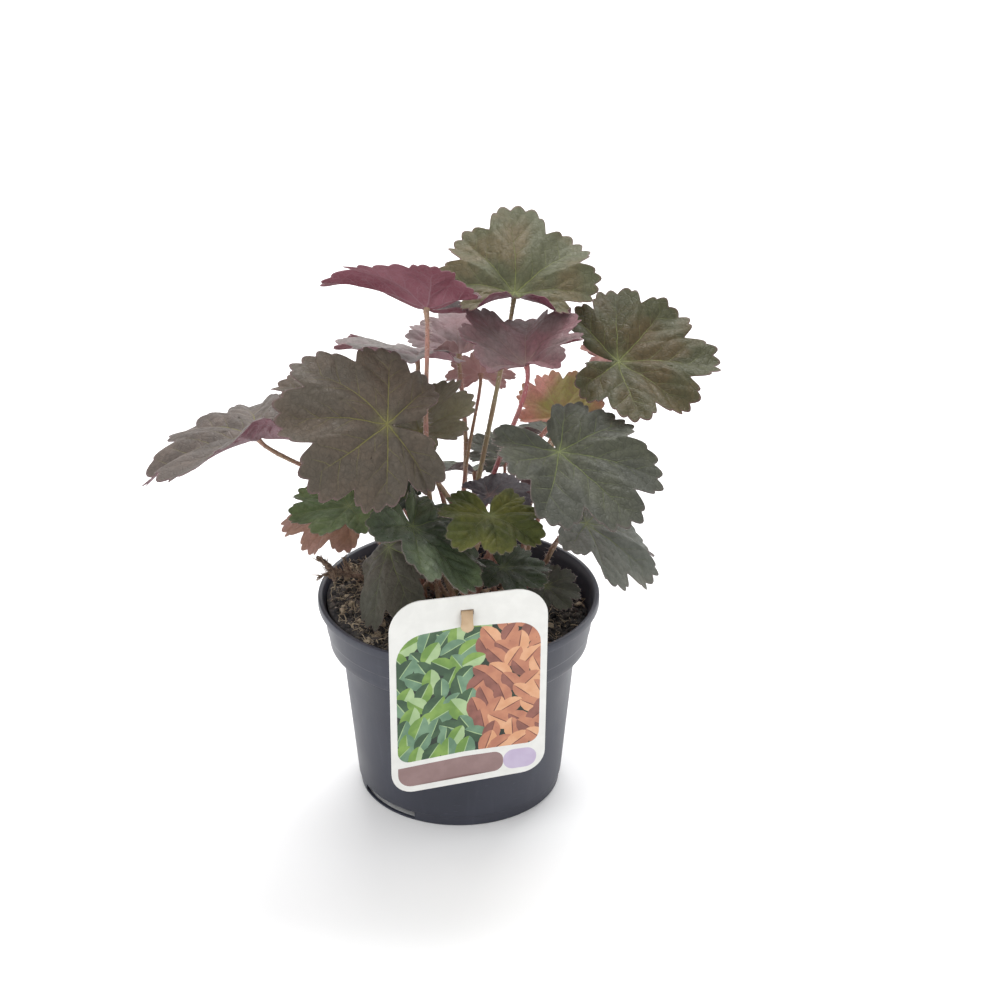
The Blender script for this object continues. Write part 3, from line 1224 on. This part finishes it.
def card_print(left, right):
    """The print's panel, and its outlines painted in turn with their material numbers."""
    panel = rounded((left + 16, 68, 13, 90), (left + 9, 22, 6, 180), (right - 9, 22, 6, 270),
                    (right - 14, 70, 11, 0))
    band = rounded((left + 10, 10, 7, 180), (right - 24, 7.5, 4.5, 270), (right - 24, 9, 4.5, 0))
    badge = rounded((right - 14.5, 8, 5, 180), (right - 9, 8, 5, 270), (right - 9, 8.5, 5, 0),
                    (right - 14.5, 8.5, 5, 90))
    shapes = [(panel, GROUND), (band + [(left + 3, 13.5)], BAND), (badge, BADGE)]
    draw = random.Random(12)
    for row in range(11):
        for column in range(9):
            x = left + 4 + column * 8 + (row % 2) * 4 + draw.uniform(-1.5, 1.5)
            y = 82 - row * 6.4 + draw.uniform(-1.5, 1.5)
            warm = x > 2 + 0.3 * abs(y - 45)
            size = draw.uniform(11, 15)
            turn = draw.uniform(200, 340)
            kind, light = draw.choice(WARM_PAIRS if warm else GREEN_PAIRS)
            whole = oval(x, y, size, size * 0.66, turn)
            rib = oval(x, y, size * 0.9, 0.45, turn)
            half = whole[:len(whole) // 2 + 1]
            shapes += [(whole, kind), (half, light), (rib, WARM_RIB if warm else GREEN_RIB)]
    return panel, shapes


def card_slot():
    """The outline of the slot that the stake's tongue passes through."""
    middle = STAKE_ROUTE[5][1] - CARD_BOTTOM
    low, high = middle - SLOT_BELOW, middle + SLOT_ABOVE
    left, right = (STAKE_X - CARD_FOLD[0] + side * (STAKE_WIDTH / 2 + SLOT_GAP) for side in (-1, 1))
    return [(left, low), (right, low), (right, high), (left, high)]


def cut_card(edge, slot, shapes):
    """The flat card's points and faces, cut along the edge, the slot and all printed outlines."""
    flat, lines = [], []
    for ring in [edge, slot] + [ring for ring, _ in shapes]:
        start = len(flat)
        flat += [Vector(point) for point in ring]
        lines += [(start + step, start + (step + 1) % len(ring)) for step in range(len(ring))]
    for column in range(-11, 13):
        for row in range(1, 32):
            spot = (column * CARD_STEP[0], row * CARD_STEP[1])
            if inside(spot, edge) and not inside(spot, slot):
                flat.append(Vector(spot))
    points, _, faces, _, _, _ = delaunay_2d_cdt(flat, lines, [list(range(len(edge)))], 1, 1e-5)
    kept = []
    for face in faces:
        centre = sum((points[corner] for corner in face), Vector((0, 0))) / len(face)
        if inside(centre, edge) and not inside(centre, slot):
            kept.append((tuple(face), centre))
    return points, kept


def make_card():
    """The card, its face printed in plain shapes, with the slot for the stake's tongue."""
    left = -CARD_WIDTH * CARD_LEFT_SHARE
    right = left + CARD_WIDTH
    low, high = CARD_BOTTOM_CORNER, CARD_TOP_CORNER
    edge = rounded((right - low, low, low, 270), (right - high, CARD_HEIGHT - high, high, 0),
                   (left + high, CARD_HEIGHT - high, high, 90), (left + low, low, low, 180))
    panel, shapes = card_print(left, right)
    points, faces = cut_card(edge, card_slot(), shapes)
    piece = Piece()
    middle = [card_point(spot.x, spot.y) for spot in points]
    facing = math.radians(CARD_FACING)
    out = Vector((math.sin(facing), -math.cos(facing), 0)) * CARD_THICKNESS / 2
    front = piece.add_points([spot + out for spot in middle])[0]
    back = piece.add_points([spot - out for spot in middle])[0]
    extents = [(min(x for x, _ in ring), max(x for x, _ in ring)) for ring, _ in shapes]
    borders = {}
    for face, centre in faces:
        kind = 0
        shown = len(shapes) if inside(centre, panel) else 3
        for (ring, number), (start, end) in zip(shapes[:shown], extents):
            if start < centre.x < end and inside(centre, ring):
                kind = number
        piece.add_faces([tuple(corner + front for corner in face)], kind)
        piece.add_faces([tuple(corner + back for corner in reversed(face))])
        for a, b in zip(face, face[1:] + face[:1]):
            if (b, a) in borders:
                del borders[(b, a)]
            else:
                borders[(a, b)] = True
    piece.add_faces([(b + front, a + front, a + back, b + back) for a, b in borders])
    item = piece.make("fine_label_card", [print_material(*tone) for tone in PRINT_COLOURS], smooth=False)
    settle(item, "label_card")


def make_stake():
    """The tan strip that stands in the soil, passes through the card and ends in a rounded tongue."""
    points, _ = smooth_route([(0, y, z) for y, z in STAKE_ROUTE], [1] * len(STAKE_ROUTE), 5)
    half = STAKE_WIDTH / 2
    lengths = distances(points)
    piece = Piece()
    rings = []
    for step, spot in enumerate(points):
        ahead = (points[min(step + 1, len(points) - 1)] - points[max(step - 1, 0)]).normalized()
        out = Vector((1, 0, 0)).cross(ahead) * STAKE_THICKNESS / 2
        left = lengths[-1] - lengths[step]
        wide = half if left > half else math.sqrt(max(half ** 2 - (half - left) ** 2, 0.04))
        wide += 0.35 * math.exp(-((left - 2.4) / 1.3) ** 2)
        rings.append([spot + Vector((STAKE_X + across * wide, 0, 0)) + out * over
                      for across, over in STAKE_SECTION])
    join_rings(piece, rings, 0)
    item = piece.make("fine_label_stake", [stake_material()])
    smooth_by_angle(item, 40)
    settle(item, "label_stake")


def make_floor():
    """A plain pale floor."""
    bpy.ops.mesh.primitive_plane_add(size=8, location=(0, 0, 0))
    floor = bpy.context.object
    floor.name = "floor"
    made, nodes, shader = new_material("floor_white")
    tone = nodes.mix(nodes.noise(nodes.place(), 3.0), (0.93, 0.935, 0.94, 1), (0.96, 0.96, 0.96, 1))
    nodes.give(shader, {"Base Color": tone, "Roughness": 0.8})
    floor.data.materials.append(made)


def area_light(name, place, size, power):
    """A soft square light turned to the plant."""
    light = bpy.data.lights.new(name, "AREA")
    light.size = size
    light.energy = power
    item = bpy.data.objects.new(name, light)
    item.location = place
    item.rotation_euler = (Vector(LIGHT_AIM) - Vector(place)).to_track_quat("-Z", "Y").to_euler()
    bpy.context.scene.collection.objects.link(item)


def make_stage():
    """The camera, the white surroundings and the soft lights."""
    scene = bpy.context.scene
    camera = bpy.data.cameras.new("camera")
    camera.lens = CAMERA_LENS
    camera.sensor_width = 36
    camera.clip_end = 20
    item = bpy.data.objects.new("camera", camera)
    item.location = CAMERA_PLACE
    item.rotation_euler = (math.radians(90 - CAMERA_PITCH), 0, -math.radians(CAMERA_YAW))
    scene.collection.objects.link(item)
    scene.camera = item
    world = bpy.data.worlds.new("white room")
    world.use_nodes = True
    world.node_tree.nodes["Background"].inputs[0].default_value = (1, 1, 1, 1)
    world.node_tree.nodes["Background"].inputs[1].default_value = ROOM_STRENGTH
    scene.world = world
    for light in LIGHTS:
        area_light(*light)
    scene.view_settings.view_transform = "Standard"
    make_floor()


VEINS = vein_group()
HAIR = hair_material()
make_stage()
make_pot()
make_soil()
make_dead_stems()
make_stake()
make_card()
for number, plan in enumerate(PLANS, 1):
    make_leaf(number, plan._replace(seed=number))
